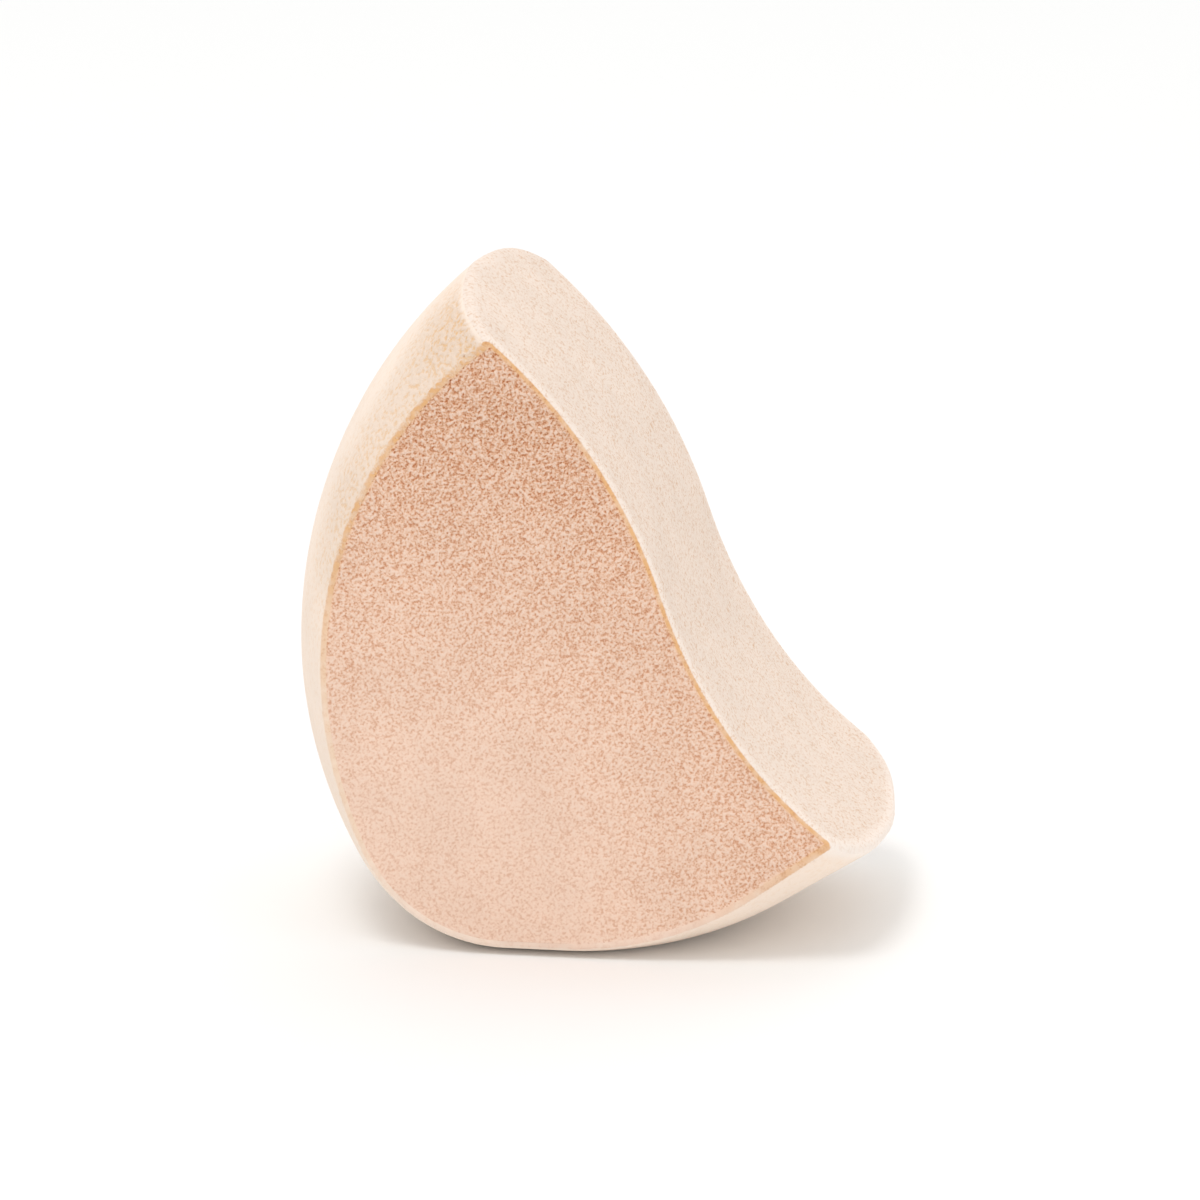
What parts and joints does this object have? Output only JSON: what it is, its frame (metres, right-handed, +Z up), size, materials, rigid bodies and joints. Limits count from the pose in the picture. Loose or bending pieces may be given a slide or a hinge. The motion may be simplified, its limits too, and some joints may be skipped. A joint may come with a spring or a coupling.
{
  "type": "makeup sponge",
  "caption": "Soft foam makeup sponge: a drop-shaped block with flat cut sides, a rounded back and tip, and a smooth hollowed face that sweeps out to a lip, for blending cosmetics by hand.",
  "frame": {"origin": "on the surface that the sponge stands on, under the middle of its overall box", "axes": "+Z up from the flat base to the tip, +X towards the lip, +Y from the front cut face to the back one"},
  "size_m": [0.0536, 0.032, 0.0594],
  "materials": {
    "open_cell_foam": "soft open-celled foam in a warm peach, with small open pores on the cut faces, fully matte",
    "moulded_foam_skin": "fine, dense foam skin in a pale cream, matte and velvety"
  },
  "bodies": {
    "root": {"foam_core": "open_cell_foam", "contour_face_skin": "moulded_foam_skin", "rim_skin": "moulded_foam_skin"}
  },
  "joints": []
}
